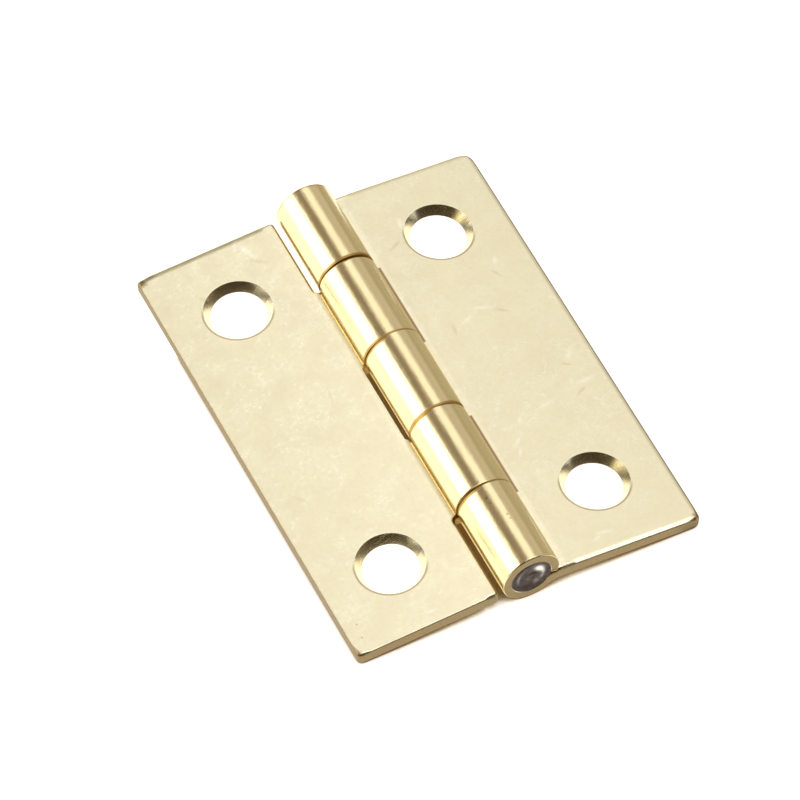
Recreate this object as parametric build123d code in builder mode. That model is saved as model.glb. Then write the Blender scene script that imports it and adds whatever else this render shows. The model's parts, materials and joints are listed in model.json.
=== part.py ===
from build123d import *
from math import acos, asin, atan2, cos, degrees, hypot, radians, sin, sqrt
import os

# Five-knuckle butt hinge of rolled sheet steel. The origin is on the surface that the hinge lies
# on, under the middle of the pin. +Y runs along the pin to the far end, +X towards the leaf that
# carries three knuckles, +Z up. The countersinks face up.

# Sheet and leaves, in millimetres and degrees
hinge_length = 38.0
leaf_reach = 14.1
sheet_thickness = 1.1
leaf_drop = 0.3
corner_radius = 0.4
worn_corner_radius = 0.8
notch_corner_radius = 0.35
face_round = 0.3
back_round = 0.24

# Knuckles
knuckle_count = 5
two_leaf_knuckle_length = 7.8
end_play = 0.08
notch_clearance = 0.3
bend_radius = 3.2
seam_gap = 0.05
curl_end_round = 0.15

# Screw holes
screw_hole_radius = 2.15
countersink_radius = 2.65
countersink_angle = 70.0
screw_line = 8.45
screw_spacing = 25.7

# Pin
pin_radius = 1.2
running_clearance = 0.05
staked_length = 1.6
stake_taper = 0.4
mouth_flare = 0.4
rim_recess = 0.08
crown_recess = 0.03
crown_radius = 1.0
punch_mark_radius = 0.8
punch_mark_depth = 0.25

# How far a cutting shape runs past what it cuts
cut_margin = 1.0

quarter_turn = 90.0
half_turn = 180.0
full_turn = 360.0

# Knuckle section: bore, barrel and the S-bend that brings the sheet down under the pin. The curl's
# free end stops a small gap over the S-bend.
bore_radius = pin_radius + running_clearance
barrel_radius = bore_radius + sheet_thickness
leaf_top = -leaf_drop
leaf_back = leaf_top - sheet_thickness
bend_height = leaf_back - bend_radius
bend_distance = barrel_radius + bend_radius
bend_reach = sqrt(bend_distance**2 - bend_height**2)
bend_centre = (bend_reach, bend_height)
bend_angle = degrees(atan2(-bend_height, bend_reach))
seam_reach = bend_radius + sheet_thickness + seam_gap
seam_cosine = (barrel_radius**2 + bend_distance**2 - seam_reach**2) / (2 * barrel_radius * bend_distance)
seam_angle = bend_angle - degrees(acos(seam_cosine))
curl_turn = full_turn + seam_angle - bend_angle
mouth_radius = bore_radius + mouth_flare
notch_reach = barrel_radius + notch_clearance
notch_depth = notch_reach + barrel_radius + cut_margin
hole_depth = sheet_thickness + cut_margin

# Rest: the barrel and the rounded back edge of each leaf touch the surface, so the leaves slope
axis_height = barrel_radius
edge_centre_reach = leaf_reach - back_round
edge_centre_drop = -leaf_back - back_round
edge_centre_distance = hypot(edge_centre_reach, edge_centre_drop)
edge_centre_angle = degrees(asin((axis_height - back_round) / edge_centre_distance))
slope = edge_centre_angle - degrees(asin(edge_centre_drop / edge_centre_distance))

# Knuckles, counted from the near end. The odd ones are the two-knuckle leaf's, and the even ones
# share what is left of the length.
half_length = hinge_length / 2
two_leaf_count = knuckle_count // 2
three_leaf_count = knuckle_count - two_leaf_count
two_leaf_length = two_leaf_count * two_leaf_knuckle_length
three_leaf_knuckle_length = (hinge_length - two_leaf_length) / three_leaf_count

# The pin's axis, and the lengthwise plane through it that its profile lies on
pin_axis = Axis((0, 0, axis_height), (0, 1, 0))
pin_plane = Plane(origin=(0, 0, axis_height), x_dir=(1, 0, 0), z_dir=(0, 0, 1))


def leaf_direction(side):
    """Return the unit vector from the pin to the outer edge of a leaf, side being 1 or -1."""
    return Vector(side * cos(radians(slope)), 0, -sin(radians(slope)))


def leaf_normal(side):
    """Return the unit vector out of the countersunk face of a leaf."""
    return Vector(side * sin(radians(slope)), 0, cos(radians(slope)))


def section_plane(side):
    """Return the plane across the pin at the end of the leaf where its sheet starts."""
    start = Vector(0, side * half_length, axis_height)
    return Plane(origin=start, x_dir=leaf_direction(side), z_dir=(0, -side, 0))


def face_plane(side, height):
    """Return the plane along a leaf at a height over the pin axis, with X towards its outer edge."""
    origin = Vector(0, 0, axis_height) + leaf_normal(side) * height
    return Plane(origin=origin, x_dir=leaf_direction(side), z_dir=leaf_normal(side))


def knuckle_span(index):
    """Return a knuckle's two ends along the pin, each set back from a neighbour by half the end play."""
    before = index // 2 * (three_leaf_knuckle_length + two_leaf_knuckle_length)
    if index % 2 == 0:
        near = -half_length + before
        far = near + three_leaf_knuckle_length
    else:
        near = -half_length + before + three_leaf_knuckle_length
        far = near + two_leaf_knuckle_length
    if index > 0:
        near += end_play / 2
    if index < knuckle_count - 1:
        far -= end_play / 2
    return near, far


def notch_span(index):
    """Return the two ends of the notch that takes the other leaf's knuckle, open at a leaf's end."""
    near = -half_length - cut_margin
    far = half_length + cut_margin
    if index > 0:
        near = knuckle_span(index - 1)[1]
    if index < knuckle_count - 1:
        far = knuckle_span(index + 1)[0]
    return near, far


def curl_point(radius, angle):
    """Return the point at a radius from the pin and an angle below the leaf's direction."""
    return (radius * cos(radians(angle)), -radius * sin(radians(angle)))


def rolled_leaf(side, own_knuckles, far_corner_radius):
    """Build a leaf: flat sheet, S-bend under the pin, and a curl once round it at its own knuckles."""
    along = Axis((0, 0, 0), leaf_direction(side))
    upright = Axis((0, 0, 0), leaf_normal(side))
    to_bend = quarter_turn - bend_angle
    to_seam = radians(seam_angle)
    across_seam = leaf_normal(side) * cos(to_seam) + leaf_direction(side) * sin(to_seam)

    with BuildPart() as leaf:
        # The whole section, rolled along the full length
        with BuildSketch(section_plane(side)):
            with BuildLine():
                Line((bend_reach, leaf_back), (leaf_reach, leaf_back))
                Line((leaf_reach, leaf_back), (leaf_reach, leaf_top))
                Line((leaf_reach, leaf_top), (bend_reach, leaf_top))
                CenterArc(bend_centre, bend_radius + sheet_thickness, quarter_turn, to_bend)
                CenterArc((0, 0), bore_radius, -bend_angle, -curl_turn)
                Line(curl_point(bore_radius, seam_angle), curl_point(barrel_radius, seam_angle))
                CenterArc((0, 0), barrel_radius, -seam_angle, curl_turn)
                CenterArc(bend_centre, bend_radius, half_turn - bend_angle, -to_bend)
            make_face()
        extrude(amount=hinge_length)

        # Notches for the other leaf's knuckles
        with BuildSketch(face_plane(side, 0)):
            for index in range(knuckle_count):
                if index not in own_knuckles:
                    near, far = notch_span(index)
                    with Locations((notch_reach, side * (near + far) / 2)):
                        Rectangle(notch_depth, far - near, align=(Align.MAX, Align.CENTER))
        extrude(amount=barrel_radius + cut_margin, both=True, mode=Mode.SUBTRACT)

        # Corners of the blank, seen square on the leaf
        notch_corners = leaf.edges().filter_by(upright).group_by(along)[-2]
        fillet(notch_corners, notch_corner_radius)
        near_corner = leaf.edges().filter_by(upright).group_by(along)[-1].sort_by(Axis.Y)[0]
        fillet(near_corner, corner_radius)
        far_corner = leaf.edges().filter_by(upright).group_by(along)[-1].sort_by(Axis.Y)[-1]
        fillet(far_corner, far_corner_radius)

        # Outer lip of each curl's free end
        curl_ends = leaf.faces().filter_by(Axis((0, 0, 0), across_seam))
        lips = [end.edges().filter_by(Axis.Y).sort_by(along)[-1] for end in curl_ends]
        fillet(lips, curl_end_round)

        # Rolled-over outline of the countersunk side, on round the bore, and a small break on the back
        face = leaf.faces().filter_by(upright).sort_by(upright)[-1]
        fillet(face.edges() - face.edges().group_by(along)[0], face_round)
        back = leaf.faces().filter_by(upright).sort_by(upright)[0]
        fillet(back.edges() - back.edges().group_by(along)[0], back_round)

        # Flared mouths at the ends of the hinge, for the staked pin
        if 0 in own_knuckles:
            with BuildSketch(pin_plane):
                with BuildLine():
                    Polyline(
                        (0, half_length - mouth_flare - bore_radius),
                        (mouth_radius + cut_margin, half_length + cut_margin),
                        (0, half_length + cut_margin),
                        close=True,
                    )
                make_face()
                mirror(about=Plane.XZ)
            revolve(axis=pin_axis, mode=Mode.SUBTRACT)

        # Countersunk screw holes
        with Locations(face_plane(side, leaf_top)):
            with Locations((screw_line, screw_spacing / 2), (screw_line, -screw_spacing / 2)):
                CounterSinkHole(screw_hole_radius, countersink_radius, hole_depth, countersink_angle)

    return leaf.part


three_knuckle_leaf = rolled_leaf(1, (0, 2, 4), worn_corner_radius)
three_knuckle_leaf.label = "three_knuckle_leaf"

two_knuckle_leaf = rolled_leaf(-1, (1, 3), corner_radius)
two_knuckle_leaf.label = "two_knuckle_leaf"

# Pin: a plain rod, staked out to the bore and into the flared mouths, crowned and punched at its ends
stake_start = half_length - staked_length
flare_start = half_length - mouth_flare
rim_end = half_length - rim_recess
crown_end = half_length - crown_recess
rim_radius = mouth_radius - rim_recess
crown_drop = crown_end - rim_end
crown_round = ((rim_radius - crown_radius) ** 2 + crown_drop**2) / (2 * crown_drop)
with BuildPart() as hinge_pin:
    with BuildSketch(pin_plane):
        with BuildLine():
            Line((0, 0), (pin_radius, 0))
            Line((pin_radius, 0), (pin_radius, stake_start - stake_taper))
            Line((pin_radius, stake_start - stake_taper), (bore_radius, stake_start))
            Line((bore_radius, stake_start), (bore_radius, flare_start))
            Line((bore_radius, flare_start), (rim_radius, rim_end))
            RadiusArc((rim_radius, rim_end), (crown_radius, crown_end), -crown_round)
            Line((crown_radius, crown_end), (punch_mark_radius, crown_end))
            Line((punch_mark_radius, crown_end), (0, crown_end - punch_mark_depth))
            Line((0, crown_end - punch_mark_depth), (0, 0))
        make_face()
    revolve(axis=pin_axis)
    mirror(about=Plane.XZ)
hinge_pin.part.label = "hinge_pin"

os.makedirs("parts", exist_ok=True)
export_step(three_knuckle_leaf, "parts/three_knuckle_leaf.step")
export_step(two_knuckle_leaf, "parts/two_knuckle_leaf.step")
export_step(hinge_pin.part, "parts/hinge_pin.step")
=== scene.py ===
"""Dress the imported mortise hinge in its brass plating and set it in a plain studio."""

import json
import logging
import math
from collections.abc import Callable
from dataclasses import dataclass
from enum import Enum

import bmesh
import bpy
import numpy as np
from mathutils import Matrix, Vector

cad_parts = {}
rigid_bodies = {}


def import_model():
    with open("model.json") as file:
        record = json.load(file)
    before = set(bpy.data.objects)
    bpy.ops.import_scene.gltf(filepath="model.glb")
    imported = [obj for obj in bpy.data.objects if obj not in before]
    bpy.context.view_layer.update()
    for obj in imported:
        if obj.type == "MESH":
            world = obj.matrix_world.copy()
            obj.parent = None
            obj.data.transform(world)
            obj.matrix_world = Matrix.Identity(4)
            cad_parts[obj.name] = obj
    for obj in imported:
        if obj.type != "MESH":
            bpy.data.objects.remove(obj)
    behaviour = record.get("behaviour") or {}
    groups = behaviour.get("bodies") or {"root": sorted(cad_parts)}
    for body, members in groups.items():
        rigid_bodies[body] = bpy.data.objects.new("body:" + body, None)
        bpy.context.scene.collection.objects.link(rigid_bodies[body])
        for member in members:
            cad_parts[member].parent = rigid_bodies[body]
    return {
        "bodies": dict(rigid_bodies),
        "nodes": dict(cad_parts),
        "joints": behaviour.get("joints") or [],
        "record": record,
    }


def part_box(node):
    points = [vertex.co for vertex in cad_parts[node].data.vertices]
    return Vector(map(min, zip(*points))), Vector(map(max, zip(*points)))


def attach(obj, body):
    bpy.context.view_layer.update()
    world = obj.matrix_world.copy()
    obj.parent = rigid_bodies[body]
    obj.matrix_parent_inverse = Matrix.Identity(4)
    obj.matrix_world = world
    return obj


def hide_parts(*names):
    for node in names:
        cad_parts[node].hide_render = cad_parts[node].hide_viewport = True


MM = 0.001
HALF_TURN = 180.0
FULL_TURN = 360.0
NOISE_MIDDLE = 0.5
END_TOLERANCE = 0.01
CUT_TOLERANCE = 1e-9
PAINTED_SHINE_LAYER = "painted_shine"
LOG = logging.getLogger("mortise_hinge")

Colour = tuple[float, float, float, float]
Span = tuple[float, float]
Socket = bpy.types.NodeSocket


class Leaf(Enum):
    """The two leaves, each by the name of its node."""

    THREE_KNUCKLE = "three_knuckle_leaf"
    TWO_KNUCKLE = "two_knuckle_leaf"

    @property
    def other(self) -> "Leaf":
        """Give the leaf on the other side of the pin."""
        return Leaf.TWO_KNUCKLE if self is Leaf.THREE_KNUCKLE else Leaf.THREE_KNUCKLE


class PinEnd(Enum):
    """The two ends of the pin, each by its direction along Y."""

    NEAR = -1
    FAR = 1


class SheetEdge(Enum):
    """The free edges of a leaf's sheet."""

    NEAR = "near"
    FAR = "far"
    OUTER = "outer"


@dataclass(frozen=True)
class HingeFrame:
    """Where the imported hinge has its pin, its leaf faces and its screw holes, in metres."""

    pin_height: float
    half_length: float
    reach: float
    face_drop: float
    normals: dict[Leaf, Vector]
    holes: dict[Leaf, list[Vector]]
    knuckles: dict[Leaf, list[Span]]

    @classmethod
    def read(cls, record: dict, nodes: dict[str, bpy.types.Object]) -> "HingeFrame":
        """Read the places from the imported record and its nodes.

        Args:
            record: The record that was packed with the model.
            nodes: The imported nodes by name.

        Returns:
            The places that the finishes are laid out by.
        """
        normals = {}
        holes = {}
        for leaf in Leaf:
            bores = [
                mount
                for mount in record["mounts"]
                if mount["kind"] == "bore" and mount["name"].startswith(leaf.value)
            ]
            normals[leaf] = Vector(bores[0]["axis"])
            holes[leaf] = [Vector(mount["pos_m"]) for mount in bores]
        low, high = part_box(Leaf.THREE_KNUCKLE.value)
        pin_height = record["behaviour"]["joints"][0]["pos_m"][2]
        flat = cls._flat(nodes[Leaf.THREE_KNUCKLE.value], normals[Leaf.THREE_KNUCKLE], pin_height)
        return cls(
            pin_height=pin_height,
            half_length=(high.y - low.y) / 2,
            reach=flat[0],
            face_drop=flat[1],
            normals=normals,
            holes=holes,
            knuckles={leaf: cls._knuckles(nodes[leaf.value], pin_height) for leaf in Leaf},
        )

    def out(self, leaf: Leaf) -> Vector:
        """Give the unit vector from the pin towards a leaf's outer edge."""
        normal = self.normals[leaf]
        return Vector((normal.z, 0, -normal.x)) * (1 if normal.x > 0 else -1)

    @staticmethod
    def _flat(node: bpy.types.Object, normal: Vector, pin_height: float) -> Span:
        """Measure how far a leaf reaches from the pin, and how far its face lies under the pin.

        Args:
            node: The leaf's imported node.
            normal: The leaf's unit normal.
            pin_height: How high the pin is, in metres.

        Returns:
            The reach and the drop, in metres.
        """
        out = Vector((normal.z, 0, -normal.x))
        from_pin = [vert.co - Vector((0, 0, pin_height)) for vert in node.data.vertices]
        reach = max(point.dot(out) for point in from_pin)
        drop = -max(point.dot(normal) for point in from_pin if point.dot(out) > reach / 2)
        return reach, drop

    @staticmethod
    def _knuckles(node: bpy.types.Object, pin_height: float) -> list[Span]:
        """Find the stretches along the pin that a leaf's curls take.

        Args:
            node: The leaf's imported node.
            pin_height: How high the pin is, in metres.

        Returns:
            The ends of each knuckle, from the near one on, in metres.
        """
        spans = []
        for side in node.data.polygons:
            points = [node.data.vertices[index].co for index in side.vertices]
            if min(point.z for point in points) > pin_height:
                along = [point.y for point in points]
                spans.append((min(along), max(along)))
        knuckles = []
        for low, high in sorted(spans):
            if knuckles and low <= knuckles[-1][1] + END_TOLERANCE * MM:
                knuckles[-1] = (knuckles[-1][0], max(high, knuckles[-1][1]))
            else:
                knuckles.append((low, high))
        return knuckles


@dataclass(frozen=True)
class Grain:
    """A noise in a surface: its features for each millimetre, and how it is layered and stretched."""

    scale: float
    detail: float = 3.0
    rough: float = 0.6
    stretch: tuple[float, float, float] = (1.0, 1.0, 1.0)


class ShaderBench:
    """Adds nodes to one material and wires them up."""

    def __init__(self, material: bpy.types.Material) -> None:
        """Start from an empty tree.

        Args:
            material: The material that the nodes belong to.
        """
        material.use_nodes = True
        self.tree = material.node_tree
        self.tree.nodes.clear()

    def add(self, kind: str, **settings: object) -> bpy.types.Node:
        """Add a node.

        Args:
            kind: The node's type name.
            **settings: Properties set on the node.

        Returns:
            The new node.
        """
        node = self.tree.nodes.new(kind)
        for key, value in settings.items():
            setattr(node, key, value)
        return node

    def feed(self, socket: Socket, value: object) -> None:
        """Wire a socket to another, or set it to a plain value.

        Args:
            socket: The input that is fed.
            value: An output socket, or a number, vector or colour.
        """
        if isinstance(value, Socket):
            self.tree.links.new(value, socket)
        else:
            socket.default_value = value

    def maths(self, operation: str, *values: object, clamp: bool = False) -> Socket:
        """Add a Math node.

        Args:
            operation: The node's operation.
            *values: Its inputs, in order.
            clamp: Whether the result is kept between 0 and 1.

        Returns:
            The node's result.
        """
        node = self.add("ShaderNodeMath", operation=operation, use_clamp=clamp)
        for socket, value in zip(node.inputs, values):
            self.feed(socket, value)
        return node.outputs[0]

    def times(self, *values: object) -> Socket:
        """Multiply values, in order.

        Args:
            *values: Two or more numbers or sockets.

        Returns:
            Their product.
        """
        product = values[0]
        for value in values[1:]:
            product = self.maths("MULTIPLY", product, value)
        return product

    def weighed(self, first: object, second: object, shares: Span) -> Socket:
        """Add two values up, each by its own share."""
        return self.maths("ADD", self.times(first, shares[0]), self.times(second, shares[1]))

    def most(self, first: object, second: object) -> Socket:
        """Take the larger of two values."""
        return self.maths("MAXIMUM", first, second)

    def rest(self, share: object) -> Socket:
        """Give what a share leaves of 1."""
        return self.maths("SUBTRACT", 1.0, share)

    def size(self, value: object) -> Socket:
        """Give a value without its sign."""
        return self.maths("ABSOLUTE", value)

    def apart(self, value: object, middle: float) -> Socket:
        """Measure how far a value is from a middle one."""
        return self.size(self.maths("SUBTRACT", value, middle))

    def vector(self, operation: str, *values: object) -> bpy.types.Node:
        """Add a Vector Math node.

        Args:
            operation: The node's operation.
            *values: Its inputs, in order.

        Returns:
            The node, whose results are "Vector" and "Value".
        """
        node = self.add("ShaderNodeVectorMath", operation=operation)
        for socket, value in zip(node.inputs, values):
            self.feed(socket, value)
        return node

    def offset(self, place: object, start: object) -> Socket:
        """Give the way from one place to another."""
        return self.vector("SUBTRACT", place, start).outputs["Vector"]

    def scaled(self, direction: tuple[float, ...], amount: Socket) -> Socket:
        """Draw a direction out by an amount.

        Args:
            direction: The direction.
            amount: How much of it is wanted.

        Returns:
            The scaled vector.
        """
        node = self.vector("SCALE", direction)
        self.feed(node.inputs["Scale"], amount)
        return node.outputs["Vector"]

    def dot(self, first: object, second: object) -> Socket:
        """Measure how far one vector reaches along another."""
        return self.vector("DOT_PRODUCT", first, second).outputs["Value"]

    def length(self, vector: object) -> Socket:
        """Measure a vector's length."""
        return self.vector("LENGTH", vector).outputs["Value"]

    def split(self, vector: object) -> bpy.types.Node:
        """Split a vector up.

        Args:
            vector: What is split.

        Returns:
            The node, whose results are "X", "Y" and "Z".
        """
        node = self.add("ShaderNodeSeparateXYZ")
        self.feed(node.inputs[0], vector)
        return node

    def ramp(self, value: object, low: float, high: float) -> Socket:
        """Turn a value into a smooth share.

        Args:
            value: What is measured.
            low: The value that gives 0. It may be over the other one.
            high: The value that gives 1.

        Returns:
            The share, from 0 to 1.
        """
        node = self.add("ShaderNodeMapRange", interpolation_type="SMOOTHSTEP")
        if low < high:
            pairs = (("From Min", low), ("From Max", high), ("To Min", 0.0), ("To Max", 1.0))
        else:
            pairs = (("From Min", high), ("From Max", low), ("To Min", 1.0), ("To Max", 0.0))
        self.feed(node.inputs["Value"], value)
        for key, number in pairs:
            node.inputs[key].default_value = number
        return node.outputs["Result"]

    def blend(self, share: object, first: object, second: object) -> Socket:
        """Mix two numbers by a share.

        Args:
            share: 0 for the first, 1 for the second.
            first: A number or socket.
            second: A number or socket.

        Returns:
            The mixed number.
        """
        node = self.add("ShaderNodeMix", data_type="FLOAT")
        self.feed(node.inputs[0], share)
        self.feed(node.inputs[2], first)
        self.feed(node.inputs[3], second)
        return node.outputs[0]

    def tint(self, share: object, first: object, second: object) -> Socket:
        """Mix two colours by a share.

        Args:
            share: 0 for the first, 1 for the second.
            first: A colour or socket.
            second: A colour or socket.

        Returns:
            The mixed colour.
        """
        node = self.add("ShaderNodeMix", data_type="RGBA")
        self.feed(node.inputs[0], share)
        self.feed(node.inputs[6], first)
        self.feed(node.inputs[7], second)
        return node.outputs[2]

    def noise(self, grain: Grain) -> Socket:
        """Add a noise texture.

        Args:
            grain: How fine, layered and stretched it is.

        Returns:
            The noise, from 0 to 1.
        """
        node = self.add("ShaderNodeTexNoise")
        self.feed(node.inputs["Vector"], self.millimetres(grain.stretch))
        node.inputs["Scale"].default_value = grain.scale
        node.inputs["Detail"].default_value = grain.detail
        node.inputs["Roughness"].default_value = grain.rough
        return node.outputs["Fac"]

    def millimetres(self, stretch: tuple[float, float, float] = (1.0, 1.0, 1.0)) -> Socket:
        """Give the piece's own coordinates in millimetres.

        Args:
            stretch: How much each axis is scaled after that.

        Returns:
            The coordinates.
        """
        own = self.add("ShaderNodeTexCoord").outputs["Object"]
        scale = tuple(share / MM for share in stretch)
        return self.vector("MULTIPLY", own, scale).outputs["Vector"]

    def own_normal(self) -> Socket:
        """Turn the surface's normal into the piece's own axes.

        Returns:
            The normal.
        """
        turn = self.add(
            "ShaderNodeVectorTransform",
            vector_type="NORMAL",
            convert_from="WORLD",
            convert_to="OBJECT",
        )
        self.feed(turn.inputs[0], self.add("ShaderNodeNewGeometry").outputs["Normal"])
        return turn.outputs[0]

    def bump(self, height: object, strength: float, depth: float) -> Socket:
        """Add a Bump node.

        Args:
            height: The relief, from 0 to 1.
            strength: How much of it shows.
            depth: What a height of 1 stands for, in metres.

        Returns:
            The bent normal.
        """
        node = self.add("ShaderNodeBump")
        node.inputs["Strength"].default_value = strength
        node.inputs["Distance"].default_value = depth
        self.feed(node.inputs["Height"], height)
        return node.outputs["Normal"]

    def metal(self, colour: object, roughness: object, normal: object) -> None:
        """Finish the tree with a metal surface.

        Args:
            colour: The metal's colour.
            roughness: Its roughness.
            normal: Its bent normal.
        """
        surface = self.add("ShaderNodeBsdfPrincipled")
        surface.inputs["Metallic"].default_value = 1.0
        self.feed(surface.inputs["Base Color"], colour)
        self.feed(surface.inputs["Roughness"], roughness)
        self.feed(surface.inputs["Normal"], normal)
        output = self.add("ShaderNodeOutputMaterial")
        self.feed(output.inputs["Surface"], surface.outputs[0])


@dataclass(frozen=True)
class WearMark:
    """A scuff, stain or pit in the plating, in millimetres and degrees.

    On the sheet, reach is out from the pin. On a curl, it is the turn round the pin from straight up
    towards -X, and lean isn't used.
    """

    reach: float
    along: float
    radius: float
    colour: Colour
    strength: float
    lean: float = 0.0
    stretch: float = 1.0
    on_curl: bool = False

    def middle(self, leaf: Leaf, frame: HingeFrame) -> Vector:
        """Give the mark's middle in millimetres.

        Args:
            leaf: The leaf that has the mark.
            frame: Where the leaf is.

        Returns:
            The middle, in the piece's own axes.
        """
        pin = Vector((0, self.along * MM, frame.pin_height))
        if self.on_curl:
            turn = math.radians(self.reach)
            return (pin + Vector((-math.sin(turn), 0, math.cos(turn))) * frame.pin_height) / MM
        return (pin + frame.out(leaf) * self.reach * MM - frame.normals[leaf] * frame.face_drop) / MM

    def line(self, leaf: Leaf, frame: HingeFrame) -> Vector:
        """Give the direction that the mark is drawn out in, as a unit vector."""
        lean = math.radians(self.lean)
        return frame.out(leaf) * math.cos(lean) + Vector((0, 1, 0)) * math.sin(lean)


DULL_BROWN: Colour = (0.30, 0.215, 0.10, 1)
RED_BROWN: Colour = (0.36, 0.19, 0.09, 1)
PALE_SCUFF: Colour = (1.0, 0.97, 0.80, 1)
SHADY_SCUFF: Colour = (0.84, 0.76, 0.52, 1)

LEAF_MARKS: dict[Leaf, tuple[WearMark, ...]] = {
    Leaf.TWO_KNUCKLE: (
        WearMark(13.75, 18.55, 0.55, DULL_BROWN, 0.9),
        WearMark(13.1, 18.75, 0.35, DULL_BROWN, 0.45, 0, 2.5),
        WearMark(13.85, -18.8, 0.4, RED_BROWN, 0.5),
        WearMark(5.6, 17.5, 0.32, PALE_SCUFF, 1.0, 70, 3.5),
        WearMark(5.2, 16.2, 0.26, SHADY_SCUFF, 0.9, 35, 4.0),
        WearMark(6.2, 18.2, 0.26, PALE_SCUFF, 0.9, 120, 3.0),
        WearMark(10.4, 15.0, 0.24, SHADY_SCUFF, 0.7, 60, 3.0),
        WearMark(10.1, 11.7, 0.22, SHADY_SCUFF, 0.7, 130, 3.0),
        WearMark(12.95, -16.4, 0.13, DULL_BROWN, 0.45),
        WearMark(13.1, -17.6, 0.12, DULL_BROWN, 0.4),
        WearMark(11.8, -4.7, 0.25, SHADY_SCUFF, 0.5, 50, 3.0),
        WearMark(7.9, -17.9, 0.2, PALE_SCUFF, 0.5, 10, 5.0),
        WearMark(5.8, 2.6, 0.2, SHADY_SCUFF, 0.5, 100, 5.0),
    ),
    Leaf.THREE_KNUCKLE: (
        WearMark(13.75, -18.75, 0.42, RED_BROWN, 0.75),
        WearMark(4.9, -7.3, 0.20, PALE_SCUFF, 1.0, 40, 4.0),
        WearMark(4.6, -8.3, 0.18, PALE_SCUFF, 1.0, 55, 3.0),
        WearMark(6.1, 14.7, 0.24, PALE_SCUFF, 1.0, 75, 3.0),
        WearMark(4.75, 12.9, 0.22, SHADY_SCUFF, 0.9, 30, 4.0),
        WearMark(6.9, -17.3, 0.22, PALE_SCUFF, 1.0, -10, 4.0),
        WearMark(6.1, -17.6, 0.20, PALE_SCUFF, 1.0, 25, 3.0),
        WearMark(11.1, 8.7, 0.26, PALE_SCUFF, 1.0, 60, 2.0),
        WearMark(10.6, 7.6, 0.20, SHADY_SCUFF, 0.9, 120, 3.0),
        WearMark(8.1, 5.0, 0.22, PALE_SCUFF, 1.0, -20, 5.0),
        WearMark(6.6, 4.4, 0.20, PALE_SCUFF, 1.0, 25, 4.0),
        WearMark(9.4, 4.2, 0.20, SHADY_SCUFF, 0.9, -35, 4.0),
        WearMark(5.3, 3.9, 0.2, SHADY_SCUFF, 0.8, 80, 4.0),
        WearMark(12.1, -1.6, 0.24, PALE_SCUFF, 1.0, 45, 2.5),
        WearMark(11.5, -2.3, 0.20, SHADY_SCUFF, 0.9, -30, 3.0),
        WearMark(12.1, -4.2, 0.26, PALE_SCUFF, 1.0, 5, 4.0),
        WearMark(11.4, -5.0, 0.20, SHADY_SCUFF, 0.9, 30, 4.0),
        WearMark(8.3, -5.1, 0.20, PALE_SCUFF, 0.9, 15, 4.0),
        WearMark(5.9, -5.6, 0.18, PALE_SCUFF, 0.9, 60, 3.0),
        WearMark(13.2, -12.67, 0.17, DULL_BROWN, 0.75, on_curl=True),
        WearMark(11.7, -13.21, 0.13, DULL_BROWN, 0.65, on_curl=True),
        WearMark(-4.4, -14.65, 0.13, DULL_BROWN, 0.6, on_curl=True),
        WearMark(-5.2, -15.06, 0.11, DULL_BROWN, 0.55, on_curl=True),
    ),
}


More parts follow.
